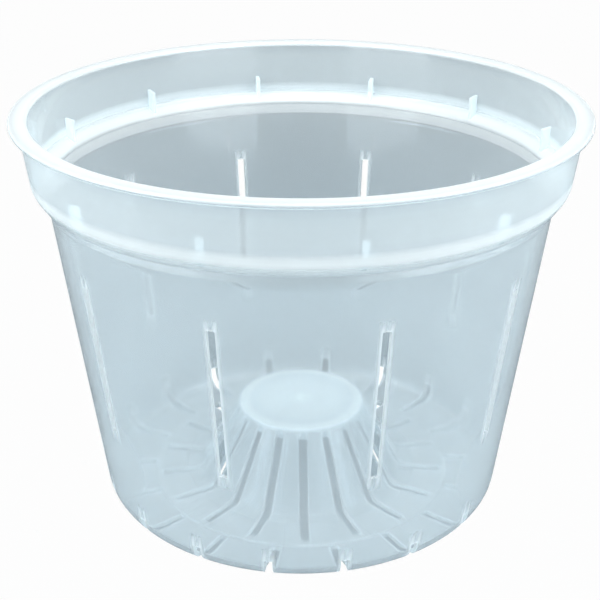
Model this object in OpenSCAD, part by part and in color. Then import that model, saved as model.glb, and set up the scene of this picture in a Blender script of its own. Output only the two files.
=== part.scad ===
// Slotted orchid pot: a thin drafted plastic pot with a flat lip, a stepped collar
// with nesting ribs, tall air slots in the wall and a raised, slotted centre cone.
// The pot is one moulding. Each node is one region of it, and neighbours meet face to face.
// The front is towards -Y. Azimuths are counted from the front towards +X.

/* [Rim] */
// Outer diameter of the lip
lip_d = 150; // [120:1:180]
// Thickness of the flat lip
lip_t = 1.2; // [0.8:0.1:2]
// How far the lip stands out from the collar
lip_overhang = 2.3; // [1.5:0.1:5]
// Thickness of the collar right under the lip
rim_t = 2.4; // [1.4:0.1:3.5]

/* [Collar] */
// Height of the collar, from the top of the lip to the shoulder
collar_h = 16.5; // [10:0.5:26]
// How far the collar draws in over its height
collar_draw = 1.9; // [0.6:0.1:4]
// Width of the sloping ledge inside the collar
ledge_w = 3.4; // [2.4:0.1:6]
// Fall of the ledge towards the middle
ledge_fall = 1.9; // [0.5:0.1:3]
// Height of the sloping shoulder outside
shoulder_h = 5.9; // [4:0.1:9]

/* [Nesting ribs] */
// Number of ribs standing on the ledge
rib_count = 12; // [6:1:16]
// Width of a rib
rib_w = 1; // [0.8:0.1:3]
// Height of a rib above the outer edge of the ledge
rib_h = 5.6; // [3:0.1:9]
// Depth of a rib from the collar inwards
rib_depth = 2.3; // [1.5:0.1:3.2]
// Fall of a rib's top towards the middle
rib_slant = 0.6; // [0.2:0.1:2.5]
// Azimuth of the first rib
rib_turn = 12; // [0:1:29]

/* [Wall] */
// Overall height of the pot
pot_h = 110; // [90:1:140]
// Thickness of the wall, floor and cone
wall_t = 1.2; // [0.8:0.1:1.8]
// Diameter at the ground, measured to the sharp corner
base_d = 112.2; // [100:0.2:118]
// Outer radius of the rounded bottom corner
corner_r = 5.5; // [3:0.1:8]

/* [Air slots] */
// Number of upright slots in the wall
slot_count = 10; // [4:2:16]
// Width of an air slot
slot_w = 2.2; // [1:0.1:5]
// Height of the lower end of the air slots
slot_z = 32; // [20:1:45]
// Length of an air slot
slot_l = 42.6; // [20:0.2:45]
// Azimuth of the first air slot
slot_turn = 18; // [0:1:35]

/* [Foot] */
// Number of drain notches round the foot
notch_count = 18; // [8:1:24]
// Width of a drain notch
notch_w = 2.2; // [1.2:0.1:4]
// Height of a drain notch above the ground
notch_h = 6.2; // [4:0.1:8]
// How far the mouth of a notch flares at the ground, on each side
notch_flare = 0.5; // [0.2:0.1:1]
// Height of that flare
notch_flare_h = 1.6; // [0.8:0.1:3]
// Inner diameter of the ring that the pot stands on
foot_in_d = 83.4; // [78:0.2:90]
// Azimuth of the floor pattern
floor_turn = 2; // [0:1:19]

/* [Floor and cone] */
// Height of the raised floor's underside above the ground
floor_lift = 0.8; // [0.5:0.1:2]
// Diameter of the foot of the centre cone
cone_d = 59.2; // [50:0.2:66]
// Diameter of the flat disc on top of the cone
disc_d = 35; // [26:0.2:40]
// Height of the disc's edge above the ground
disc_z = 22.5; // [12:0.5:30]
// Rise of the disc towards its middle
disc_rise = 0.2; // [0.1:0.1:2]
// Width of the long floor slots
drain_w = 2.4; // [1:0.1:4]
// Solid land between a long slot and the foot's step
drain_land = 0.8; // [0.5:0.1:3]
// Solid land between a long slot and the edge of the disc
disc_land = 0.5; // [0.4:0.1:3]
// Diameter of the moulding mark in the middle of the disc
gate_d = 2; // [1:0.1:4]
// Height of the moulding mark
gate_h = 0.3; // [0.2:0.1:1.5]

/* [Hidden] */
$fn = 112;
// Reach of a cutter past the face that it cuts
over = 1;
// Straight steps in the rounded bottom corner, and in the lip's small edges
corner_steps = 6;
edge_steps = 4;

lip_r = lip_d / 2;
base_r = base_d / 2;
lip_z = pot_h - lip_t;
shoulder_z = pot_h - collar_h;
wall_top_z = shoulder_z - shoulder_h;
// The wall begins above the drain notches
corner_z = notch_h + wall_t;

collar_top_r = lip_r - lip_overhang;
rim_in_r = collar_top_r - rim_t;
collar_low_r = collar_top_r - collar_draw;
collar_in_low_r = collar_low_r - wall_t;
// The ledge starts where the collar's inner face ends, one ledge fall above the wall
ledge_z = shoulder_z + lip_t / 2;
wall_top_r = collar_low_r - ledge_w - collar_draw / 3;
draft = (wall_top_r - base_r) / wall_top_z;
draft_a = atan(draft);
// Thickness of the drafted wall, measured level
wall_level_t = wall_t / cos(draft_a);

step_in_r = foot_in_d / 2;
step_out_r = step_in_r + wall_t;
floor_z = floor_lift + wall_t;
cone_r = cone_d / 2;
disc_r = disc_d / 2;
flank = (cone_r - disc_r) / (disc_z - floor_z);
// Thickness of the sloping cone, measured level
cone_level_t = wall_t * sqrt(1 + flank * flank);
drain_out_r = step_in_r - drain_land;
drain_in_r = disc_r + disc_land;

// Outer radius of the drafted wall at height z
function wall_r(z) = base_r + draft * z;

// Inner radius of the drafted wall at height z
function wall_in_r(z) = wall_r(z) - wall_level_t;

// Inner radius of the collar at height z
function collar_in_r(z) =
    collar_in_low_r + (rim_in_r - collar_in_low_r) * (z - ledge_z) / (lip_z - ledge_z);

// Outer radius of the collar at height z
function collar_r(z) =
    collar_low_r + (collar_top_r - collar_low_r) * (z - shoulder_z) / (lip_z - shoulder_z);

// Height of the ledge's upper face at radius r
function ledge_top(r) = ledge_z - ledge_fall * (collar_in_low_r - r) / ledge_w;

// Points of an arc round c, from angle a to angle b in the given number of steps
function arc(c, r, a, b, steps) =
    [for (i = [0:steps]) let (t = a + (b - a) * i / steps)
        c + r * [cos(t), sin(t)]];

// Centre of a corner arc of radius r that touches the level z and the wall line wall_r(z) - inset
function corner_c(r, z, inset) =
    [wall_r(z + r) - inset - r / cos(draft_a), z + r];

module turned(points) {
    rotate_extrude() polygon(points);
}

// A box that runs outwards from radius r0 to r1 at an azimuth
module radial_box(azimuth, r0, r1, w, z0, z1) {
    rotate([0, 0, azimuth]) translate([-w / 2, -r1, z0]) cube([w, r1 - r0, z1 - z0]);
}

// Flat lip with rounded inner and outer edges
module rim_lip() {
    edge_r = lip_t / 2;
    color([0.93, 0.96, 0.98])
    turned(concat(
        arc([lip_r - edge_r, lip_z + edge_r], edge_r, -90, 90, 2 * edge_steps),
        arc([rim_in_r + edge_r, pot_h - edge_r], edge_r, 90, 180, edge_steps),
        [[rim_in_r, lip_z]]
    ));
}

// Upright collar that thickens towards the lip
module stacking_collar() {
    color([0.80, 0.86, 0.90])
    turned([
        [collar_in_low_r, ledge_z],
        [collar_r(ledge_z), ledge_z],
        [collar_top_r, lip_z],
        [rim_in_r, lip_z]
    ]);
}

// Ledge inside and sloping shoulder outside, where the collar steps in to the wall
module nesting_ledge() {
    ledge_in_z = ledge_top(collar_in_low_r - ledge_w);
    color([0.88, 0.92, 0.95])
    turned([
        [collar_in_low_r, ledge_z],
        [collar_r(ledge_z), ledge_z],
        [collar_low_r, shoulder_z],
        [wall_top_r, wall_top_z],
        [wall_in_r(wall_top_z), wall_top_z],
        [collar_in_low_r - ledge_w, ledge_in_z]
    ]);
}

// One thin radial rib that seats on the ledge and against the collar
module nesting_rib(i) {
    rib_in_r = collar_in_low_r - rib_depth;
    rib_z = ledge_z + rib_h;
    color([0.96, 0.98, 1.0])
    intersection() {
        turned([
            [rib_in_r, ledge_top(rib_in_r)],
            [collar_in_low_r, ledge_z],
            [collar_in_r(rib_z), rib_z],
            [rib_in_r, rib_z - rib_slant]
        ]);
        radial_box(rib_turn + (i - 1) * 360 / rib_count, rib_in_r - over, lip_r,
                   rib_w, ledge_z - ledge_fall - over, rib_z + over);
    }
}

// Drafted wall with its ring of upright air slots
module slotted_wall() {
    color([0.76, 0.83, 0.88])
    difference() {
        turned([
            [wall_in_r(corner_z), corner_z],
            [wall_r(corner_z), corner_z],
            [wall_top_r, wall_top_z],
            [wall_in_r(wall_top_z), wall_top_z]
        ]);
        for (i = [0:slot_count - 1])
            radial_box(slot_turn + i * 360 / slot_count, base_r / 2, lip_r,
                       slot_w, slot_z, slot_z + slot_l);
    }
}

// The cutter of one drain notch: a slot through the foot and up the corner, flared at the ground
module notch_cutter(azimuth) {
    radial_box(azimuth, step_out_r, lip_r, notch_w, -over, notch_h);
    rotate([0, 0, azimuth]) rotate([90, 0, 0])
        translate([0, 0, base_r - corner_r])
        linear_extrude(height = corner_r * 2)
        polygon([
            [-notch_w / 2, notch_flare_h],
            [-notch_w / 2 - notch_flare, 0],
            [-notch_w / 2 - notch_flare, -over],
            [notch_w / 2 + notch_flare, -over],
            [notch_w / 2 + notch_flare, 0],
            [notch_w / 2, notch_flare_h]
        ]);
}

// The ring that the pot stands on, the rounded corner and the step up to the floor
module foot_ring() {
    inner_r = corner_r - wall_t;
    color([0.70, 0.79, 0.85])
    difference() {
        turned(concat(
            [[step_in_r, floor_lift], [step_in_r + floor_lift, 0]],
            arc(corner_c(corner_r, 0, 0), corner_r, -90, -draft_a, corner_steps),
            [[wall_r(corner_z), corner_z], [wall_in_r(corner_z), corner_z]],
            arc(corner_c(inner_r, wall_t, wall_level_t), inner_r, -draft_a, -90, corner_steps),
            [[step_out_r, wall_t], [step_out_r, floor_z], [step_in_r, floor_z]]
        ));
        for (i = [0:notch_count - 1])
            notch_cutter(floor_turn + (i + 0.5) * 360 / notch_count);
    }
}

// The long radial slots, one between each two notches, run from the floor up the cone
module drain_cutters() {
    for (i = [0:notch_count - 1])
        radial_box(floor_turn + i * 360 / notch_count, drain_in_r, drain_out_r,
                   drain_w, -over, disc_z + over);
}

// Raised flat floor between the foot and the cone
module floor_ring() {
    color([0.74, 0.82, 0.87])
    difference() {
        turned([
            [cone_r, floor_lift],
            [step_in_r, floor_lift],
            [step_in_r, floor_z],
            [cone_r, floor_z]
        ]);
        drain_cutters();
    }
}

// Hollow cone in the middle of the floor
module centre_cone() {
    under_low_r = cone_r - cone_level_t + flank * wall_t;
    under_top_r = disc_r - cone_level_t + flank * wall_t;
    color([0.82, 0.88, 0.92])
    difference() {
        turned([
            [cone_r, floor_lift],
            [cone_r, floor_z],
            [disc_r, disc_z],
            [disc_r - cone_level_t, disc_z],
            [disc_r - cone_level_t, disc_z - wall_t],
            [under_top_r, disc_z - wall_t],
            [under_low_r, floor_lift]
        ]);
        drain_cutters();
    }
}

// Disc that closes the cone, with the mark that the moulding gate leaves
module centre_disc() {
    r = disc_r - cone_level_t;
    color([0.92, 0.95, 0.97])
    turned([
        [0, disc_z - wall_t],
        [r, disc_z - wall_t],
        [r, disc_z],
        [gate_d / 2, disc_z + disc_rise],
        [gate_d / 2, disc_z + disc_rise + gate_h],
        [0, disc_z + disc_rise + gate_h]
    ]);
}

rim_lip();
stacking_collar();
nesting_ledge();
slotted_wall();
foot_ring();
floor_ring();
centre_cone();
centre_disc();
for (i = [1:rib_count])
    nesting_rib(i);
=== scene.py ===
"""Slotted orchid pot, dressed for its picture.

The pot is one injection moulding of clear, slightly frosted polypropylene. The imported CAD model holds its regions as
separate nodes; here one seamless closed shell stands for the ring-shaped regions, so that no inner joint shows through
the clear plastic, and twelve thin ribs stand on its ledge. All shapes are worked out with numpy in millimetres and
written in metres. Azimuths are counted from the front, -Y, towards +X.
"""

import logging
import math
from dataclasses import dataclass, field
from enum import Enum

import bpy
import numpy as np
from numpy.typing import NDArray
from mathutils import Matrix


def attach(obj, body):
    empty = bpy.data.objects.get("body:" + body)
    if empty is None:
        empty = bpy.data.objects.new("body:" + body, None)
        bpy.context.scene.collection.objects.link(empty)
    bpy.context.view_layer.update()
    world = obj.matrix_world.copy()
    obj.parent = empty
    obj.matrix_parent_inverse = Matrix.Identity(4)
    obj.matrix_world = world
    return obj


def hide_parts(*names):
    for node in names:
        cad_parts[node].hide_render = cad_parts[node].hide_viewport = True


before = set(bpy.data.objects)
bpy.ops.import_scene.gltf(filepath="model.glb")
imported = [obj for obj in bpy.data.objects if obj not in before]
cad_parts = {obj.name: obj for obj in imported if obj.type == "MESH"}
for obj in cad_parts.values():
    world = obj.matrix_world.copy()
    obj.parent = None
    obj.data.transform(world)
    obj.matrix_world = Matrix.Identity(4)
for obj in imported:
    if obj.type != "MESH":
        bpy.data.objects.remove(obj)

logging.basicConfig(level=logging.INFO, format="%(message)s")
LOG = logging.getLogger("orchid_pot")

Array = NDArray[np.float64]
Numbers = NDArray[np.int64]
Flags = NDArray[np.bool_]
Triple = tuple[float, float, float]

MM = 0.001
SAME_POINT = 1e-6
FULL_TURN = 360.0
BODY = "root"
# Mesh attribute of how white the sheet looks: partly its own milk, partly a painted glow of light gathered in the
# sheet.
MILK_AND_GLOW = "milk"


class Finish(Enum):
    """The names of the scene's finishes."""

    CLEAR_POLYPROPYLENE = "clear_polypropylene"
    WHITE_FLOOR = "white_floor"


class Side(Enum):
    """The two faces of the sheet: the one outside and below, and the one inside and above."""

    OUTER = 0
    INNER = 1


@dataclass(frozen=True)
class Rounding:
    """How one corner of a profile is rounded.

    Attributes:
        reach: How far from the corner the curve starts and ends, in millimetres.
        steps: The number of straight steps along the curve.
    """

    reach: float
    steps: int


def make_object(
    name: str, points: Array, faces: list[Numbers], sharp_deg: float = 30.0, milk: Array | None = None
) -> bpy.types.Object:
    """Puts arrays of points and faces into a new mesh object at the origin.

    Args:
        name: The name of the object and of its mesh.
        points: Corner points in millimetres, one row each.
        faces: Arrays of faces, each with one row of point numbers for each face.
        sharp_deg: Edges that turn by more than this many degrees stay sharp.
        milk: How white the sheet looks at each point, from 0 to 1, kept in the mesh as an attribute: own milk and
            painted glow.

    Returns:
        The new object, linked to the scene.
    """
    sizes = np.concatenate([np.full(len(f), f.shape[1]) for f in faces])
    corners = np.concatenate([f.ravel() for f in faces]).astype(np.int32)
    mesh = bpy.data.meshes.new(name)
    mesh.vertices.add(len(points))
    mesh.vertices.foreach_set("co", (points * MM).astype(np.float32).ravel())
    mesh.loops.add(len(corners))
    mesh.loops.foreach_set("vertex_index", corners)
    mesh.polygons.add(len(sizes))
    mesh.polygons.foreach_set("loop_start", np.concatenate([[0], np.cumsum(sizes)[:-1]]).astype(np.int32))
    mesh.update(calc_edges=True)
    mesh.validate()
    mesh.shade_smooth()
    mesh.set_sharp_from_angle(angle=math.radians(sharp_deg))
    if milk is not None:
        mesh.attributes.new(MILK_AND_GLOW, "FLOAT", "POINT").data.foreach_set("value", milk.astype(np.float32))
    piece = bpy.data.objects.new(name, mesh)
    bpy.context.scene.collection.objects.link(piece)
    return piece


def blend_corner(before: Array, corner: Array, after: Array, rounding: Rounding) -> Array:
    """Rounds one corner of a profile.

    The curve is the quadratic one that leaves the first edge at the given reach before the corner and joins the second
    edge at the same reach after it, with the corner as its middle control point.

    Args:
        before: The profile's point before the corner.
        corner: The corner itself.
        after: The point after it.
        rounding: The curve's reach and steps.

    Returns:
        The points of the curve, from its start to its end.
    """
    start = corner + (before - corner) * rounding.reach / np.linalg.norm(before - corner)
    end = corner + (after - corner) * rounding.reach / np.linalg.norm(after - corner)
    t = np.linspace(0.0, 1.0, rounding.steps + 1)[:, None]
    return (1 - t) ** 2 * start + 2 * t * (1 - t) * corner + t**2 * end


def straight(start: Array, end: Array, steps: int) -> Array:
    """Points of the straight line from start to end, both included, in even steps."""
    return start + (end - start) * np.linspace(0.0, 1.0, steps + 1)[:, None]


def graded(start: Array, end: Array, steps: int) -> Array:
    """Points of the straight line from start to end, both included, closer together towards both ends."""
    return start + (end - start) * (0.5 - 0.5 * np.cos(np.linspace(0.0, math.pi, steps + 1)))[:, None]


def joined(*runs: Array) -> Array:
    """Joins runs of points into one polyline.

    Args:
        runs: The runs, in order.

    Returns:
        All their points, with those that repeat the one before left out.
    """
    line = np.concatenate(runs)
    keep = np.concatenate([[True], np.linalg.norm(np.diff(line, axis=0), axis=1) > SAME_POINT])
    return line[keep]


def point(r: float, z: float) -> Array:
    """A profile point at radius r and height z."""
    return np.array([r, z], dtype=float)


@dataclass(frozen=True)
class SlotRow:
    """One ring of equal openings through the sheet, parallel-sided in width.

    Attributes:
        count: How many openings the ring has.
        turn: Azimuth of the first, in degrees.
        width: Width of an opening in millimetres.
        half_columns: How many grid columns, of one degree each, lie on each side of its middle.
        edge_milk_and_glow: How much whiter the sheet looks at an opening's edges, partly milk, partly a painted glow
            of gathered light.
    """

    count: int
    turn: float
    width: float
    half_columns: int
    edge_milk_and_glow: float

    def middles(self) -> Array:
        """Azimuths of the openings' middles, in degrees."""
        return (self.turn + np.arange(self.count) * FULL_TURN / self.count) % FULL_TURN

    def shift(self, columns: Array, radius: float, extra: float = 0.0) -> Array:
        """How far each grid column turns so that the openings' edges lie at half the width from their middles.

        The edge of an opening at radius r stands at the angle whose sine is half the width over r. Between edges the
        turn runs evenly from one to the next.

        Args:
            columns: The columns' azimuths in degrees.
            radius: The row's radius in millimetres.
            extra: Width added on each side, for a flared mouth.

        Returns:
            The turn of each column, in degrees.
        """
        half = math.degrees(math.asin((self.width / 2 + extra) / radius)) - self.half_columns
        keys = np.concatenate([self.middles() - self.half_columns, self.middles() + self.half_columns])
        turns = np.concatenate([np.full(self.count, -half), np.full(self.count, half)])
        return np.interp(columns, keys % FULL_TURN, turns, period=FULL_TURN)

    def cells(self, columns: int) -> Flags:
        """Marks the grid cells between columns that an opening takes out.

        Args:
            columns: How many columns the grid has.

        Returns:
            One flag for each cell round the pot, true where an opening is.
        """
        middles = np.rint(self.middles()).astype(int)
        across = np.arange(-self.half_columns, self.half_columns)
        open_cells = np.zeros(columns, dtype=bool)
        open_cells[(middles[:, None] + across[None, :]).ravel() % columns] = True
        return open_cells


@dataclass(frozen=True)
class Rows:
    """How many steps each run of the section has.

    Attributes:
        under: Lower face of the disc.
        cone: Cone, along the long slots.
        floor: Floor, along the long slots.
        foot: Foot, along the notches.
        corner: Arc of the bottom corner.
        heel: Wall, from the bottom corner to the notches' end.
        low_wall: Wall below the air slots.
        slotted_wall: Wall along the air slots.
        high_wall: Wall above the air slots.
        shoulder: Sloping shoulder.
        collar: Each face of the collar.
        bead: Half circle of the lip's edge.
        lip: Top of the lip.
        ledge: Ledge inside.
        brink: Wall just below the ledge.
        disc: Upper face of the disc.
    """

    under: int = 5
    cone: int = 5
    floor: int = 4
    foot: int = 4
    corner: int = 9
    heel: int = 2
    low_wall: int = 6
    slotted_wall: int = 10
    high_wall: int = 3
    shoulder: int = 6
    collar: int = 10
    bead: int = 12
    lip: int = 4
    ledge: int = 4
    brink: int = 5
    disc: int = 6


@dataclass
class Profile:
    """The closed section of the sheet, as runs of radius and height, with the rows at which openings start and end.

    Attributes:
        lip_r: Outer radius of the lip.
        lip_t: Thickness of the lip.
        collar_top_r: Outer radius of the collar under the lip.
        collar_low_r: Outer radius of the collar at the shoulder.
        rim_in_r: Inner radius of the collar at the top.
        pot_h: Height of the pot.
        collar_h: Height of the collar with the lip.
        shoulder_h: Height of the sloping shoulder below the collar.
        ledge_w: Width of the ledge inside.
        ledge_fall: How far the ledge falls inwards.
        sheet: Thickness of the sheet.
        base_r: Radius at the ground, to the sharp corner.
        corner_r: Radius of the rounded bottom corner.
        floor_lift: Height of the floor's lower face.
        foot_in_r: Inner radius of the foot ring.
        cone_r: Radius at which the cone's upper face meets the floor.
        disc_r: Radius of the disc on the cone.
        disc_z: Height of the disc's edge.
        disc_rise: How much higher the disc's middle stands.
        gate_r: Radius of the gate mark on the disc.
        gate_h: Height of the gate mark.
        gate_draft: How much wider the gate mark is at its foot, on each side.
        slot_low: Height at which the air slots start.
        slot_high: Height at which they end.
        notch_top: Height at which the notches end.
        notch_land_out: How far past the foot ring's inner step the notches start below.
        notch_land_in: The same above.
        drain_in: Radius at which the long slots start, on the cone.
        drain_out: Radius at which they end, on the floor.
        wall_end: How far below the wall's top the rows of the rim start.
        axis_r: Radius of the ring of points next to each pole.
        knee: Rounding between cone and floor.
        step_edge: Rounding of the step from floor to foot, at the floor.
        step_foot: The same at the foot.
        neck: Rounding where the wall meets the shoulder.
        brow: Rounding where the shoulder meets the collar.
        armpit: Rounding under the lip.
        rim_edge: Rounding of the inner edge at the top.
        gutter: Rounding where the collar meets the ledge inside.
        brink: Rounding where the ledge falls off to the wall.
        disc_edge: Rounding of the disc's edge.
        mark_foot: Rounding at the gate mark's foot.
        mark_edge: Rounding of its top edge.
        under_edge: Rounding where disc and cone meet below.
        rows: How many steps each run has.
        marks: First and last row of each run, under its name, filled in by section.
        wall_top: Height at which the wall ends.
        wall_top_r: Outer radius of the wall there.
        draft: How much the wall's radius grows with height.
        slope: The same as an angle, in radians.
        level: The sheet's thickness measured level across the wall.
        shoulder: Height at which shoulder and collar meet.
        ledge_z: Height of the ledge's outer edge.
        collar_in_r: Inner radius of the collar at the ledge.
        flank: How much the cone's radius grows downwards.
        cone_level: The sheet's thickness measured level across the cone.
    """

    lip_r: float = 75.0
    lip_t: float = 1.2
    collar_top_r: float = 72.7
    collar_low_r: float = 70.8
    rim_in_r: float = 70.3
    pot_h: float = 110.0
    collar_h: float = 16.5
    shoulder_h: float = 5.9
    ledge_w: float = 3.4
    ledge_fall: float = 1.9
    sheet: float = 1.2
    base_r: float = 56.1
    corner_r: float = 5.5
    floor_lift: float = 0.8
    foot_in_r: float = 41.7
    cone_r: float = 29.6
    disc_r: float = 17.5
    disc_z: float = 22.5
    disc_rise: float = 0.2
    gate_r: float = 1.0
    gate_h: float = 0.3
    gate_draft: float = 0.25
    slot_low: float = 32.0
    slot_high: float = 74.6
    notch_top: float = 6.2
    notch_land_out: float = 0.2
    notch_land_in: float = 0.45
    drain_in: float = 18.0
    drain_out: float = 40.9
    wall_end: float = 1.0
    axis_r: float = 0.4
    knee: Rounding = Rounding(1.6, 5)
    step_edge: Rounding = Rounding(0.3, 3)
    step_foot: Rounding = Rounding(0.2, 3)
    neck: Rounding = Rounding(0.9, 5)
    brow: Rounding = Rounding(1.0, 6)
    armpit: Rounding = Rounding(0.5, 4)
    rim_edge: Rounding = Rounding(0.9, 7)
    gutter: Rounding = Rounding(0.7, 5)
    brink: Rounding = Rounding(0.9, 6)
    disc_edge: Rounding = Rounding(0.6, 5)
    mark_foot: Rounding = Rounding(0.12, 2)
    mark_edge: Rounding = Rounding(0.2, 3)
    under_edge: Rounding = Rounding(0.8, 5)
    rows: Rows = Rows()
    marks: dict[str, int] = field(default_factory=dict)
    wall_top: float = field(init=False)
    wall_top_r: float = field(init=False)
    draft: float = field(init=False)
    slope: float = field(init=False)
    level: float = field(init=False)
    shoulder: float = field(init=False)
    ledge_z: float = field(init=False)
    collar_in_r: float = field(init=False)
    flank: float = field(init=False)
    cone_level: float = field(init=False)

    def __post_init__(self) -> None:
        """Works out the sizes that follow from the others."""
        self.wall_top = self.pot_h - self.collar_h - self.shoulder_h
        self.wall_top_r = self.collar_low_r - self.ledge_w - (self.collar_top_r - self.collar_low_r) / 3
        self.draft = (self.wall_top_r - self.base_r) / self.wall_top
        self.slope = math.atan(self.draft)
        self.level = self.sheet / math.cos(self.slope)
        self.shoulder = self.pot_h - self.collar_h
        self.ledge_z = self.shoulder + self.lip_t / 2
        self.collar_in_r = self.collar_low_r - self.sheet
        self.flank = (self.cone_r - self.disc_r) / (self.disc_z - self.floor_lift - self.sheet)
        self.cone_level = self.sheet * math.hypot(1.0, self.flank)

    def wall(self, z: float, side: Side) -> Array:
        """The point of the wall's outer or inner face at height z."""
        inset = self.level if side is Side.INNER else 0.0
        return point(self.base_r + self.draft * z - inset, z)

    def cone(self, r: float, side: Side) -> Array:
        """The point of the cone's upper or lower face at radius r."""
        top = self.floor_lift + self.sheet + (self.cone_r - r) / self.flank
        return point(r, top if side is Side.INNER else top - self.cone_level / self.flank)

    def corner(self, side: Side) -> Array:
        """The rounded bottom corner, an arc that touches the foot's face and the drafted wall.

        Args:
            side: The face of the sheet.

        Returns:
            The arc's points, from the foot upwards.
        """
        inner = side is Side.INNER
        radius = self.corner_r - (self.sheet if inner else 0.0)
        low = self.sheet if inner else 0.0
        centre = self.wall(low + radius, side) - point(radius / math.cos(self.slope), 0.0)
        angle = np.linspace(-math.pi / 2, -self.slope, self.rows.corner + 1)[:, None]
        return centre + radius * np.concatenate([np.cos(angle), np.sin(angle)], axis=1)

    def base_run(self, side: Side) -> list[Array]:
        """The runs of one face from the long slots' inner end to the top of the wall, with equal counts on both faces.

        Args:
            side: The face of the sheet.

        Returns:
            Cone and floor; step to the foot; foot, corner and start of the wall; low wall; slotted wall; high wall.
        """
        inner = side is Side.INNER
        floor_z = self.floor_lift + (self.sheet if inner else 0.0)
        foot_z = self.sheet if inner else 0.0
        bend_r = self.cone_r if inner else self.cone_r - self.cone_level + self.flank * self.sheet
        bend = point(bend_r, floor_z)
        cone_end = self.cone(self.drain_in, side)
        out = point(self.drain_out, floor_z)
        knee = blend_corner(cone_end, bend, out, self.knee)
        drains = joined(
            straight(cone_end, knee[0], self.rows.cone), knee, straight(knee[-1], out, self.rows.floor)
        )
        if inner:
            edge, foot = point(self.foot_in_r + self.sheet, floor_z), point(self.foot_in_r + self.sheet, foot_z)
        else:
            edge, foot = point(self.foot_in_r, floor_z), point(self.foot_in_r + self.floor_lift, foot_z)
        land = self.notch_land_in if inner else self.notch_land_out
        notch_in = point(self.foot_in_r + self.sheet + land, foot_z)
        step = joined(
            out[None, :],
            blend_corner(out, edge, foot, self.step_edge),
            blend_corner(edge, foot, notch_in, self.step_foot),
            notch_in[None, :],
        )
        arc = self.corner(side)
        top = self.wall(self.notch_top, side)
        notch = joined(straight(notch_in, arc[0], self.rows.foot), arc, straight(arc[-1], top, self.rows.heel))
        low, high = self.wall(self.slot_low, side), self.wall(self.slot_high, side)
        return [
            drains,
            step,
            notch,
            straight(top, low, self.rows.low_wall),
            straight(low, high, self.rows.slotted_wall),
            straight(high, self.wall(self.wall_top - self.wall_end, side), self.rows.high_wall),
        ]

    def rim(self) -> Array:
        """The shoulder, collar, lip, inner collar and ledge.

        Returns:
            Their points, from the outer wall's top over the lip to the inner wall's.
        """
        half = self.lip_t / 2
        lip_z = self.pot_h - self.lip_t
        end_z = self.wall_top - self.wall_end
        wall_out, wall_in = self.wall(end_z, Side.OUTER), self.wall(end_z, Side.INNER)
        shoulder_low = point(self.wall_top_r, self.wall_top)
        shoulder_top = point(self.collar_low_r, self.shoulder)
        under = point(self.collar_top_r, lip_z)
        angle = np.linspace(-math.pi / 2, math.pi / 2, self.rows.bead + 1)[:, None]
        bead = point(self.lip_r - half, lip_z + half) + half * np.concatenate([np.cos(angle), np.sin(angle)], axis=1)
        rim_edge = point(self.rim_in_r, self.pot_h)
        ledge_out = point(self.collar_in_r, self.ledge_z)
        ledge_in = point(self.collar_in_r - self.ledge_w, self.ledge_z - self.ledge_fall)
        neck = blend_corner(wall_out, shoulder_low, shoulder_top, self.neck)
        brow = blend_corner(shoulder_low, shoulder_top, under, self.brow)
        armpit = blend_corner(shoulder_top, under, bead[0], self.armpit)
        inner_edge = blend_corner(bead[-1], rim_edge, ledge_out, self.rim_edge)
        gutter = blend_corner(rim_edge, ledge_out, ledge_in, self.gutter)
        brink = blend_corner(ledge_out, ledge_in, wall_in, self.brink)
        return joined(
            neck,
            graded(neck[-1], brow[0], self.rows.shoulder),
            brow,
            graded(brow[-1], armpit[0], self.rows.collar),
            armpit,
            bead,
            graded(bead[-1], inner_edge[0], self.rows.lip),
            inner_edge,
            graded(inner_edge[-1], gutter[0], self.rows.collar),
            gutter,
            graded(gutter[-1], brink[0], self.rows.ledge),
            brink,
            graded(brink[-1], wall_in, self.rows.brink),
        )

    def top(self) -> Array:
        """The upper face of the cone's start and of the disc.

        Returns:
            Its points, from the long slots' inner end over the gate mark's edge to the ring next to the pole.
        """
        start = self.cone(self.drain_in, Side.INNER)
        edge = point(self.disc_r, self.disc_z)
        mark = point(self.gate_r + self.gate_draft, self.disc_z + self.disc_rise)
        mark_top = point(self.gate_r, self.disc_z + self.disc_rise + self.gate_h)
        brink = blend_corner(start, edge, mark, self.disc_edge)
        foot = blend_corner(edge, mark, mark_top, self.mark_foot)
        crown = blend_corner(mark, mark_top, point(0.0, mark_top[1]), self.mark_edge)
        pole = point(self.axis_r, mark_top[1])
        return joined(brink, straight(brink[-1], foot[0], self.rows.disc), foot, crown, pole[None, :])

    def under(self) -> Array:
        """The lower face of the disc and of the cone's start.

        Returns:
            Its points, from the ring next to the pole to the long slots' inner end.
        """
        corner = point(self.disc_r - self.cone_level + self.flank * self.sheet, self.disc_z - self.sheet)
        end = self.cone(self.drain_in, Side.OUTER)
        bend = blend_corner(point(0.0, corner[1]), corner, end, self.under_edge)
        return joined(straight(point(self.axis_r, corner[1]), bend[0], self.rows.under), bend)

    def section(self) -> Array:
        """The whole section, once round the sheet.

        The rows at which the openings start and end are kept in marks, under their names and sides.

        Returns:
            Its points, from the axis below the disc, round the outside and the lip, to the axis above the disc.
        """
        outer, inner = self.base_run(Side.OUTER), self.base_run(Side.INNER)
        runs = [self.under(), *outer, self.rim(), *[run[::-1] for run in reversed(inner)], self.top()]
        names = ["under", "drain_o", "step_o", "notch_o", "low_o", "slot_o", "high_o", "rim"]
        names += ["high_i", "slot_i", "low_i", "notch_i", "step_i", "drain_i", "top"]
        line = runs[0]
        for name, run in zip(names[1:], runs[1:]):
            joins = np.linalg.norm(line[-1] - run[0]) < SAME_POINT
            self.marks[name] = len(line) - 1 if joins else len(line)
            line = joined(line, run)
            self.marks[name + "_end"] = len(line) - 1
        return line


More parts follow.
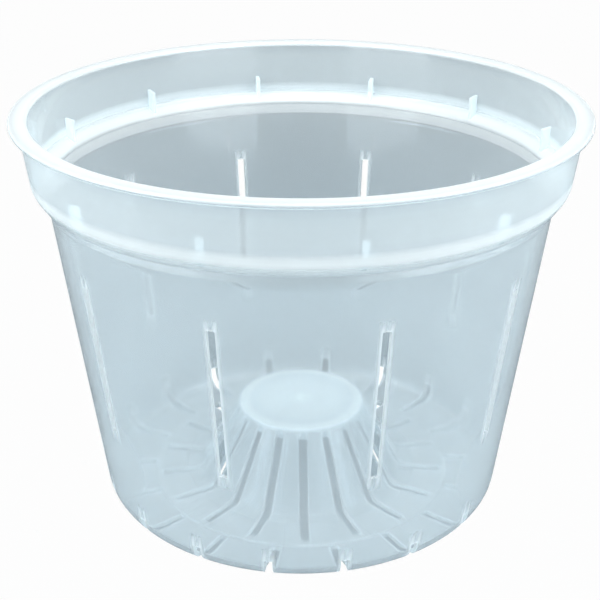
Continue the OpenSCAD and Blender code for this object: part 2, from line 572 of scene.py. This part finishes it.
@dataclass(frozen=True)
class MilkAndGlowPlace:
    """A place of the section where the sheet looks whiter: its own milk and a painted glow of gathered light.

    Attributes:
        side: The face of the sheet that it lies on, counted from the lip's outermost point.
        r: Radius of its middle.
        z: Height of its middle.
        reach_r: How far it reaches along the radius.
        reach_z: How far it reaches up and down.
        amount: How much whiter its middle is, from 0 to 1, partly painted glow.
    """

    side: Side
    r: float
    z: float
    reach_r: float
    reach_z: float
    amount: float


@dataclass
class PotShell:
    """The whole moulding but its ribs: one closed sheet with three rings of openings.

    Attributes:
        profile: The section of the sheet.
        columns: Grid columns round the pot.
        air: The upright slots in the wall.
        notches: The drain notches through foot and corner.
        drains: The long slots in floor and cone.
        flare: How far a notch's mouth opens at the ground, on each side.
        flare_h: The height over which it does.
        sharp_deg: Edges that turn by more than this stay sharp.
        milk_and_glow_places: Where the sheet looks whiter, own milk and painted glow: lip, ledge, shoulder, collar,
            disc, a haze low down.
    """

    profile: Profile = field(default_factory=Profile)
    columns: int = 360
    # The openings' edges are whitened by a painted glow of light gathered at the cut edges.
    air: SlotRow = SlotRow(count=10, turn=18.0, width=2.2, half_columns=1, edge_milk_and_glow=0.3)
    notches: SlotRow = SlotRow(count=18, turn=12.0, width=2.2, half_columns=1, edge_milk_and_glow=0.3)
    drains: SlotRow = SlotRow(count=18, turn=2.0, width=2.4, half_columns=2, edge_milk_and_glow=0.2)
    flare: float = 0.5
    flare_h: float = 1.6
    sharp_deg: float = 40.0
    # Lip, ledge, shoulder bend and disc edge get a painted glow of gathered light; collar, disc and low wall are
    # lightened, partly own milk, partly painted light.
    milk_and_glow_places: tuple[MilkAndGlowPlace, ...] = (
        MilkAndGlowPlace(Side.INNER, 71.3, 109.95, 1.9, 0.75, 1.0),
        MilkAndGlowPlace(Side.INNER, 74.0, 109.95, 1.2, 0.6, 0.6),
        MilkAndGlowPlace(Side.INNER, 67.8, 93.2, 2.9, 1.6, 1.0),
        MilkAndGlowPlace(Side.OUTER, 70.8, 95.0, 1.3, 1.4, 0.75),
        MilkAndGlowPlace(Side.OUTER, 71.7, 101.5, 2.6, 7.8, 0.27),
        MilkAndGlowPlace(Side.INNER, 17.3, 22.4, 0.6, 0.6, 0.45),
        MilkAndGlowPlace(Side.INNER, 0.0, 23.4, 24.0, 2.0, 0.62),
        MilkAndGlowPlace(Side.INNER, 0.0, 22.9, 1.5, 1.0, 0.3),
        MilkAndGlowPlace(Side.OUTER, 57.0, 10.0, 7.0, 20.0, 0.06),
        MilkAndGlowPlace(Side.INNER, 44.0, 1.6, 16.0, 3.0, 0.12),
        MilkAndGlowPlace(Side.INNER, 59.0, 22.0, 6.0, 18.0, 0.08),
    )

    def rings(self) -> tuple[tuple[str, SlotRow], ...]:
        """The rings of openings, each with the name of its rows in the profile's marks."""
        return ("drain", self.drains), ("notch", self.notches), ("slot", self.air)

    def azimuths(self, section: Array) -> Array:
        """Azimuth of every grid point.

        Each row starts with even columns and turns them by the shift of the openings that the row passes.

        Args:
            section: The section's points.

        Returns:
            Degrees, one row for each point of the section.
        """
        marks = self.profile.marks
        columns = np.arange(self.columns) * FULL_TURN / self.columns
        grid = np.tile(columns, (len(section), 1))
        for name, ring in self.rings():
            for side in ("_o", "_i"):
                for row in range(marks[name + side], marks[name + side + "_end"] + 1):
                    r, z = section[row]
                    flared = name == "notch" and r > self.profile.base_r - self.profile.corner_r
                    extra = self.flare * max(0.0, 1.0 - z / self.flare_h) if flared else 0.0
                    grid[row] = columns + ring.shift(columns, r, extra)
        return grid

    def faces(self, rows: int) -> list[Numbers]:
        """All faces: the sheet less its openings, the openings' sides and ends, and the two poles.

        An opening joins the outer rows from its start to its end to the inner rows in reverse. Its sides are quads
        between those rows at its first and last column, and its ends are quads along them at its first and last row.

        Args:
            rows: How many points the section has.

        Returns:
            Arrays of quads and, for the poles, of triangles.
        """
        marks, n = self.profile.marks, self.columns
        number = np.arange(rows * n).reshape(rows, n)
        sheet = np.ones((rows - 1, n), dtype=bool)
        made: list[Numbers] = []
        for name, ring in self.rings():
            gone = ring.cells(n)
            outer_start, outer_end = marks[name + "_o"], marks[name + "_o_end"]
            inner_start, inner_end = marks[name + "_i"], marks[name + "_i_end"]
            sheet[outer_start:outer_end, gone] = False
            sheet[inner_start:inner_end, gone] = False
            outer = number[outer_start : outer_end + 1]
            inner = number[inner_start : inner_end + 1][::-1]
            first = np.flatnonzero(gone & ~np.roll(gone, 1))
            last = (np.flatnonzero(gone & ~np.roll(gone, -1)) + 1) % n
            for column, turned in ((first, True), (last, False)):
                o, i = outer[:, column], inner[:, column]
                quads = np.stack([o[:-1], o[1:], i[1:], i[:-1]], axis=-1).reshape(-1, 4)
                made.append(quads[:, ::-1] if turned else quads)
            cells = np.flatnonzero(gone)
            after = (cells + 1) % n
            for row, turned in ((0, False), (-1, True)):
                o, i = outer[row], inner[row]
                quads = np.stack([o[cells], o[after], i[after], i[cells]], axis=-1)
                made.append(quads[:, ::-1] if turned else quads)
        low, high = number[:-1], number[1:]
        quads = np.stack([low, np.roll(low, -1, axis=1), np.roll(high, -1, axis=1), high], axis=-1)
        made.append(quads[sheet])
        pole_below, pole_above = rows * n, rows * n + 1
        lowest, highest = number[0], number[-1]
        made.append(np.stack([np.roll(lowest, -1), lowest, np.full(n, pole_below)], axis=1))
        made.append(np.stack([highest, np.roll(highest, -1), np.full(n, pole_above)], axis=1))
        return made

    def milk(self, section: Array) -> Array:
        """How white each grid point looks, from 0 to 1: partly the sheet's own milk, partly painted light.

        Thick places and edges gather the light that runs inside the sheet; that gathered light is painted in as extra
        milk, a painted glow. Each milky place of the section adds its amount times exp(-d^4), where d is the distance
        from its middle in units of its reach, and every edge of an opening adds a share of its own.

        Args:
            section: The section's points.

        Returns:
            One number for each grid point, row by row.
        """
        row = np.zeros(len(section))
        lip = int(np.argmax(section[:, 0]))
        for place in self.milk_and_glow_places:
            rows = slice(0, lip) if place.side is Side.OUTER else slice(lip, len(section))
            away = (section[rows] - (place.r, place.z)) / (place.reach_r, place.reach_z)
            row[rows] += place.amount * np.exp(-(np.hypot(away[:, 0], away[:, 1]) ** 4))
        milk = np.tile(row[:, None], (1, self.columns))
        marks = self.profile.marks
        for name, ring in self.rings():
            gone = ring.cells(self.columns)
            edges = gone ^ np.roll(gone, 1)
            for side in ("_o", "_i"):
                # Painted glow along the openings' edges.
                milk[marks[name + side] : marks[name + side + "_end"] + 1, edges] += ring.edge_milk_and_glow
        return np.clip(milk, 0.0, 1.0).ravel()

    def build(self) -> bpy.types.Object:
        """Builds the shell.

        A section point at radius r and height z and an azimuth a give the point (r sin a, -r cos a, z).

        Returns:
            The shell, with its milk attribute, which carries the sheet's own milk and a painted glow.
        """
        section = self.profile.section()
        a = np.radians(self.azimuths(section))
        r, z = section[:, :1], np.repeat(section[:, 1:], self.columns, axis=1)
        grid = np.stack([r * np.sin(a), -r * np.cos(a), z], axis=-1).reshape(-1, 3)
        poles = np.array([[0.0, 0.0, section[0, 1]], [0.0, 0.0, section[-1, 1]]])
        points = np.concatenate([grid, poles])
        milk = self.milk(section)
        milk = np.append(milk, milk[[0, -1]])
        faces = self.faces(len(section))
        used = np.zeros(len(points), dtype=bool)
        for numbers in faces:
            used[numbers] = True
        renumber = np.cumsum(used) - 1
        return make_object(
            "pot_shell", points[used], [renumber[numbers] for numbers in faces], self.sharp_deg, milk[used]
        )


@dataclass
class NestingRibs:
    """The thin radial ribs that stand on the ledge against the collar and carry the next pot of a stack.

    Attributes:
        profile: The section that the ribs seat on.
        count: How many ribs there are.
        turn: Azimuth of the first, in degrees.
        width: Width of a rib.
        height: Height above the ledge's outer edge.
        depth: Depth from the collar inwards.
        slant: Fall of the top towards the middle.
        bite: How deep a rib reaches into the sheet behind and below it.
        milk: How milky a rib looks, partly a painted glow of light gathered in the thin fin.
        roundings: Roundings of the outline's corners, from its inner foot counter-clockwise.
        flat: Share of the width over which the outline is full.
        inset: How far the outline is drawn in at both ends of the width.
        sharp_deg: Edges that turn by more than this stay sharp.
    """

    profile: Profile = field(default_factory=Profile)
    count: int = 12
    turn: float = 12.0
    width: float = 1.0
    height: float = 5.6
    depth: float = 2.3
    slant: float = 0.6
    bite: float = 0.15
    milk: float = 0.55
    roundings: tuple[Rounding, ...] = (Rounding(0.05, 4), Rounding(0.05, 4), Rounding(0.2, 4), Rounding(0.35, 4))
    flat: float = 0.84
    inset: float = 0.08
    sharp_deg: float = 50.0

    def outline(self) -> Array:
        """The rib's side outline.

        Returns:
            Its points as radius and height, counter-clockwise from its inner foot.
        """
        p = self.profile
        inner, outer = p.collar_in_r - self.depth, p.collar_in_r
        fall = p.ledge_fall / p.ledge_w
        top = p.ledge_z + self.height
        lean = (p.rim_in_r - outer) / (p.pot_h - p.lip_t - p.ledge_z)
        corners = np.array([
            [inner, p.ledge_z - fall * self.depth - self.bite],
            [outer + self.bite, p.ledge_z - self.bite],
            [outer + lean * self.height + self.bite, top],
            [inner, top - self.slant],
        ])
        before, after = np.roll(corners, 1, axis=0), np.roll(corners, -1, axis=0)
        return joined(*[blend_corner(*four) for four in zip(before, corners, after, self.roundings)])

    def build(self) -> list[bpy.types.Object]:
        """Builds all ribs: each outline is set in its upright radial plane and carried across the rib's width.

        The edges are rounded by sections: the outer two of four are drawn in towards the outline's middle.

        Returns:
            The ribs, in the order of their azimuths.
        """
        line = self.outline()
        middle = line.mean(axis=0)
        across = np.array([-1.0, -self.flat, self.flat, 1.0]) * self.width / 2
        inset = np.array([self.inset, 0.0, 0.0, self.inset])
        away = (line - middle) / np.linalg.norm(line - middle, axis=1)[:, None]
        rings = line[None, :, :] - inset[:, None, None] * away[None, :, :]
        number = np.arange(len(across) * len(line)).reshape(len(across), len(line))
        walls = [
            np.stack([low, high, np.roll(high, -1), np.roll(low, -1)], axis=1)
            for low, high in zip(number[:-1], number[1:])
        ]
        caps = [number[:1].copy(), number[-1:, ::-1].copy()]
        made = []
        for i in range(self.count):
            a = math.radians(self.turn + i * FULL_TURN / self.count)
            out, side = np.array([math.sin(a), -math.cos(a)]), np.array([math.cos(a), math.sin(a)])
            level = rings[:, :, :1] * out + across[:, None, None] * side
            points = np.concatenate([level, rings[:, :, 1:]], axis=-1).reshape(-1, 3)
            # Each rib is whitened evenly: its own milk and a painted glow.
            milk = np.full(len(points), self.milk)
            made.append(make_object(f"rib_{i + 1}", points, [*walls, *caps], self.sharp_deg, milk))
        return made


@dataclass(frozen=True)
class ClearPolypropylene:
    """Clear polypropylene sheet with a slight milk in it, whiter where the mesh's attribute adds milk and painted
    glow.

    Attributes:
        clear: Colour that the sheet gives to what is seen through it.
        ior: Its index of refraction.
        roughness: How much the surface blurs what is seen through it.
        blur_less: How much less it does so where the melt flowed smoothly.
        blur_more: How much more where it did not.
        milk: Colour of the light scattered inside the sheet.
        milk_roughness: Roughness of the gloss on milky places.
        least_milk: Milky share of a plain stretch of sheet.
        most_milk: Milky share where the mesh's attribute is 1, at the painted glow of lip and ledge.
        through: Share of the milky light that comes out on the far side.
        shade: Colour that one face of the sheet gives to light from a lamp.
        flow_scale: About how many flow marks there are to a metre.
        flow_detail: Detail of their noise.
        flow_strength: How strongly the flow marks bend the surface.
        flow_depth: Their depth in metres.
    """

    clear: Triple = (0.80, 0.87, 0.905)
    ior: float = 1.49
    roughness: float = 0.06
    blur_less: float = 0.03
    blur_more: float = 0.04
    milk: Triple = (0.90, 0.96, 0.975)
    milk_roughness: float = 0.3
    least_milk: float = 0.17
    most_milk: float = 0.95
    through: float = 0.35
    shade: Triple = (0.56, 0.59, 0.61)
    flow_scale: float = 60.0
    flow_detail: float = 2.0
    flow_strength: float = 0.015
    flow_depth: float = 0.0002

    def build(self) -> bpy.types.Material:
        """Makes the node material.

        A clear shader and a milky one, which throws light back and lets it through scattered, are mixed by the mesh's
        attribute, whose high values are a painted glow of gathered light. Rays from lamps pass as through tinted
        glass, so that the inside is lit.

        Returns:
            The material.
        """
        mat = bpy.data.materials.new(Finish.CLEAR_POLYPROPYLENE.value)
        mat.use_nodes = True
        tree = mat.node_tree
        tree.nodes.clear()
        new, link = tree.nodes.new, tree.links.new
        out = new("ShaderNodeOutputMaterial")
        glass = new("ShaderNodeBsdfPrincipled")
        glass.inputs["Base Color"].default_value = (*self.clear, 1.0)
        glass.inputs["IOR"].default_value = self.ior
        glass.inputs["Transmission Weight"].default_value = 1.0
        front = new("ShaderNodeBsdfPrincipled")
        front.inputs["Base Color"].default_value = (*self.milk, 1.0)
        front.inputs["Roughness"].default_value = self.milk_roughness
        far = new("ShaderNodeBsdfTranslucent")
        far.inputs["Color"].default_value = (*self.milk, 1.0)
        milky = new("ShaderNodeMixShader")
        milky.inputs["Fac"].default_value = self.through
        body = new("ShaderNodeMixShader")
        lamp_ray = new("ShaderNodeMixShader")
        shade = new("ShaderNodeBsdfTransparent")
        shade.inputs["Color"].default_value = (*self.shade, 1.0)
        path = new("ShaderNodeLightPath")
        # Reads the milk attribute: the sheet's own milk plus a painted glow at lip, ledge, edges and disc.
        edge = new("ShaderNodeAttribute")
        edge.attribute_name = MILK_AND_GLOW
        share = new("ShaderNodeMapRange")
        share.inputs["To Min"].default_value = self.least_milk
        share.inputs["To Max"].default_value = self.most_milk
        coords = new("ShaderNodeTexCoord")
        flow = new("ShaderNodeTexNoise")
        flow.inputs["Scale"].default_value = self.flow_scale
        flow.inputs["Detail"].default_value = self.flow_detail
        blur = new("ShaderNodeMapRange")
        blur.inputs["To Min"].default_value = self.roughness - self.blur_less
        blur.inputs["To Max"].default_value = self.roughness + self.blur_more
        bump = new("ShaderNodeBump")
        bump.inputs["Strength"].default_value = self.flow_strength
        bump.inputs["Distance"].default_value = self.flow_depth
        link(coords.outputs["Object"], flow.inputs["Vector"])
        link(flow.outputs["Fac"], blur.inputs["Value"])
        link(blur.outputs["Result"], glass.inputs["Roughness"])
        link(flow.outputs["Fac"], bump.inputs["Height"])
        link(bump.outputs["Normal"], glass.inputs["Normal"])
        link(front.outputs["BSDF"], milky.inputs[1])
        link(far.outputs["BSDF"], milky.inputs[2])
        link(edge.outputs["Fac"], share.inputs["Value"])
        link(share.outputs["Result"], body.inputs["Fac"])
        link(glass.outputs["BSDF"], body.inputs[1])
        link(milky.outputs["Shader"], body.inputs[2])
        link(path.outputs["Is Shadow Ray"], lamp_ray.inputs["Fac"])
        link(body.outputs["Shader"], lamp_ray.inputs[1])
        link(shade.outputs["BSDF"], lamp_ray.inputs[2])
        link(lamp_ray.outputs["Shader"], out.inputs["Surface"])
        return mat


@dataclass(frozen=True)
class WhiteFloor:
    """White paper floor that the camera sees as white, with the pot's soft shadow kept.

    Attributes:
        colour: Colour of the light that the paper throws back.
        lift: Share of plain white that camera rays see in it.
        lift_through: The same for what is seen mirrored or through the clear sheet.
    """

    colour: Triple = (0.13, 0.175, 0.205)
    lift: float = 0.98
    lift_through: float = 0.05

    def build(self) -> bpy.types.Material:
        """Makes the node material: paper, mixed with plain white by the kind of ray that sees it.

        Returns:
            The material.
        """
        mat = bpy.data.materials.new(Finish.WHITE_FLOOR.value)
        mat.use_nodes = True
        tree = mat.node_tree
        tree.nodes.clear()
        new, link = tree.nodes.new, tree.links.new
        out = new("ShaderNodeOutputMaterial")
        paper = new("ShaderNodeBsdfDiffuse")
        paper.inputs["Color"].default_value = (*self.colour, 1.0)
        white = new("ShaderNodeEmission")
        white.inputs["Strength"].default_value = 1.0
        path = new("ShaderNodeLightPath")
        direct = new("ShaderNodeMath")
        direct.operation = "MULTIPLY"
        direct.inputs[1].default_value = self.lift
        either = new("ShaderNodeMath")
        either.operation = "MAXIMUM"
        share = new("ShaderNodeMath")
        share.operation = "MULTIPLY_ADD"
        share.inputs[1].default_value = self.lift_through
        mix = new("ShaderNodeMixShader")
        link(path.outputs["Is Camera Ray"], direct.inputs[0])
        link(path.outputs["Is Glossy Ray"], either.inputs[0])
        link(path.outputs["Is Transmission Ray"], either.inputs[1])
        link(either.outputs["Value"], share.inputs[0])
        link(direct.outputs["Value"], share.inputs[2])
        link(share.outputs["Value"], mix.inputs["Fac"])
        link(paper.outputs["BSDF"], mix.inputs[1])
        link(white.outputs["Emission"], mix.inputs[2])
        link(mix.outputs["Shader"], out.inputs["Surface"])
        return mat


@dataclass(frozen=True)
class SoftBox:
    """A square lamp with an even glow.

    Attributes:
        name: Its name.
        place: Where its middle hangs, in metres.
        aim: The point that it faces, in metres.
        power: Its power in watts.
        size: Length of its sides in metres.
    """

    name: str
    place: Triple
    aim: Triple
    power: float
    size: float = 0.6

    def build(self) -> bpy.types.Object:
        """Hangs the lamp, which shines along its own -Z, turned and tilted towards its aim.

        Returns:
            The lamp.
        """
        data = bpy.data.lights.new(self.name, "AREA")
        data.size = self.size
        data.energy = self.power
        lamp = bpy.data.objects.new(self.name, data)
        lamp.location = self.place
        way = np.array(self.aim) - np.array(self.place)
        level = math.hypot(way[0], way[1])
        lamp.rotation_euler = (math.atan2(level, -way[2]), 0.0, math.atan2(way[1], way[0]) - math.pi / 2)
        bpy.context.scene.collection.objects.link(lamp)
        return lamp


@dataclass
class Studio:
    """Floor, light and camera of the picture.

    Attributes:
        distance: From the camera to the point it aims at, in metres.
        pitch_deg: How far the camera looks down.
        turn_deg: How far the camera stands round towards +X.
        aim_z: Height of the point that it aims at.
        side: How far camera and aim stand to the side.
        lens: Focal length in millimetres.
        sensor: Width of the camera's sensor in millimetres.
        near: Nearest distance that the camera sees, in metres.
        floor_r: Radius of the floor in millimetres.
        floor_gap: How far the floor lies below the foot, in millimetres.
        floor_corners: Number of the floor's corners.
        daylight: Strength of the even light from all round.
        far_dim: How much darker than white the far side of the room is, low down, when seen through the clear sheet.
        far_low: Rise of the line of sight at and below which it is so.
        far_high: Rise at which it is white again.
        boxes: The soft boxes.
    """

    distance: float = 4.5024 * 0.075
    pitch_deg: float = math.degrees(0.4373)
    turn_deg: float = 0.6
    aim_z: float = 0.110 - 0.7526 * 0.075
    side: float = -0.00033
    lens: float = 72.2
    sensor: float = 36.0
    near: float = 0.01
    floor_r: float = 1500.0
    floor_gap: float = 0.05
    floor_corners: int = 96
    daylight: float = 0.02
    far_dim: float = 0.62
    far_low: float = -0.2
    far_high: float = 0.5
    boxes: tuple[SoftBox, ...] = (
        SoftBox("left_box", (-0.68, -0.25, 0.58), (0.0, 0.0, 0.06), 5.4),
        SoftBox("right_box", (0.68, -0.25, 0.58), (0.0, 0.0, 0.06), 5.2),
        SoftBox("left_front_box", (-0.55, -0.60, 0.25), (0.0, 0.0, 0.06), 3.3),
        SoftBox("right_front_box", (0.55, -0.60, 0.25), (0.0, 0.0, 0.06), 3.7),
        SoftBox("top_box", (0.0, 0.0, 0.90), (0.0, 0.0, 0.0), 3.2),
    )

    def camera(self) -> bpy.types.Object:
        """Sets up the camera at the photograph's angle.

        Returns:
            The camera.
        """
        data = bpy.data.cameras.new("camera")
        data.lens = self.lens
        data.sensor_width = self.sensor
        data.clip_start = self.near
        cam = bpy.data.objects.new("camera", data)
        turn, pitch = math.radians(self.turn_deg), math.radians(self.pitch_deg)
        back = np.array([math.sin(turn) * math.cos(pitch), -math.cos(turn) * math.cos(pitch), math.sin(pitch)])
        right = np.array([math.cos(turn), math.sin(turn), 0.0])
        cam.location = np.array([0.0, 0.0, self.aim_z]) + right * self.side + back * self.distance
        cam.rotation_euler = (math.pi / 2 - pitch, 0.0, turn)
        bpy.context.scene.collection.objects.link(cam)
        bpy.context.scene.camera = cam
        return cam

    def floor(self) -> bpy.types.Object:
        """Lays the floor, a large flat disc of paper.

        Returns:
            The floor.
        """
        number = np.arange(self.floor_corners)
        angle = number * 2 * math.pi / self.floor_corners
        depth = np.full(self.floor_corners, -self.floor_gap)
        rim = np.stack([self.floor_r * np.cos(angle), self.floor_r * np.sin(angle), depth], axis=1)
        floor = make_object("floor", rim, [number[None, :]])
        floor.data.materials.append(WhiteFloor().build())
        return floor

    def world(self) -> None:
        """Makes the world: white to the camera and in reflections, and an even light on everything."""
        world = bpy.data.worlds.new("studio")
        bpy.context.scene.world = world
        world.use_nodes = True
        tree = world.node_tree
        tree.nodes.clear()
        new, link = tree.nodes.new, tree.links.new
        out = new("ShaderNodeOutputWorld")
        seen = new("ShaderNodeBackground")
        seen.inputs["Color"].default_value = (1.0, 1.0, 1.0, 1.0)
        light = new("ShaderNodeBackground")
        light.inputs["Color"].default_value = (1.0, 1.0, 1.0, 1.0)
        light.inputs["Strength"].default_value = self.daylight
        path = new("ShaderNodeLightPath")
        plain = new("ShaderNodeMath")
        plain.operation = "SUBTRACT"
        plain.inputs[0].default_value = 1.0
        mix = new("ShaderNodeMixShader")
        coords = new("ShaderNodeTexCoord")
        parts = new("ShaderNodeSeparateXYZ")
        height = new("ShaderNodeMapRange")
        height.inputs["From Min"].default_value = self.far_low
        height.inputs["From Max"].default_value = self.far_high
        height.inputs["To Min"].default_value = self.far_dim
        height.inputs["To Max"].default_value = 0.0
        dim = new("ShaderNodeMath")
        dim.operation = "MULTIPLY"
        bright = new("ShaderNodeMath")
        bright.operation = "SUBTRACT"
        bright.inputs[0].default_value = 1.0
        link(coords.outputs["Generated"], parts.inputs["Vector"])
        link(parts.outputs["Z"], height.inputs["Value"])
        link(height.outputs["Result"], dim.inputs[0])
        link(path.outputs["Is Transmission Ray"], dim.inputs[1])
        link(dim.outputs["Value"], bright.inputs[1])
        link(bright.outputs["Value"], seen.inputs["Strength"])
        link(path.outputs["Is Diffuse Ray"], plain.inputs[1])
        link(plain.outputs["Value"], mix.inputs["Fac"])
        link(light.outputs["Background"], mix.inputs[1])
        link(seen.outputs["Background"], mix.inputs[2])
        link(mix.outputs["Shader"], out.inputs["Surface"])

    def build(self) -> None:
        """Builds the whole studio."""
        self.camera()
        self.floor()
        self.world()
        for box in self.boxes:
            box.build()
        bpy.context.scene.view_settings.view_transform = "Standard"


def main() -> None:
    """Builds the pot and its studio in order and reports each piece."""
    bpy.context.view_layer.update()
    plastic = ClearPolypropylene().build()
    shell = PotShell().build()
    shell.data.materials.append(plastic)
    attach(shell, BODY)
    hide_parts("rim_lip", "stacking_collar", "nesting_ledge", "slotted_wall", "foot_ring", "floor_ring",
                "centre_cone", "centre_disc")
    LOG.info("%s: %d faces", shell.name, len(shell.data.polygons))
    for number, rib in enumerate(NestingRibs().build(), start=1):
        rib.data.materials.append(plastic)
        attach(rib, BODY)
        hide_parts(f"nesting_rib_{number}")
        LOG.info("%s: %d faces", rib.name, len(rib.data.polygons))
    Studio().build()


if __name__ == "__main__":
    main()
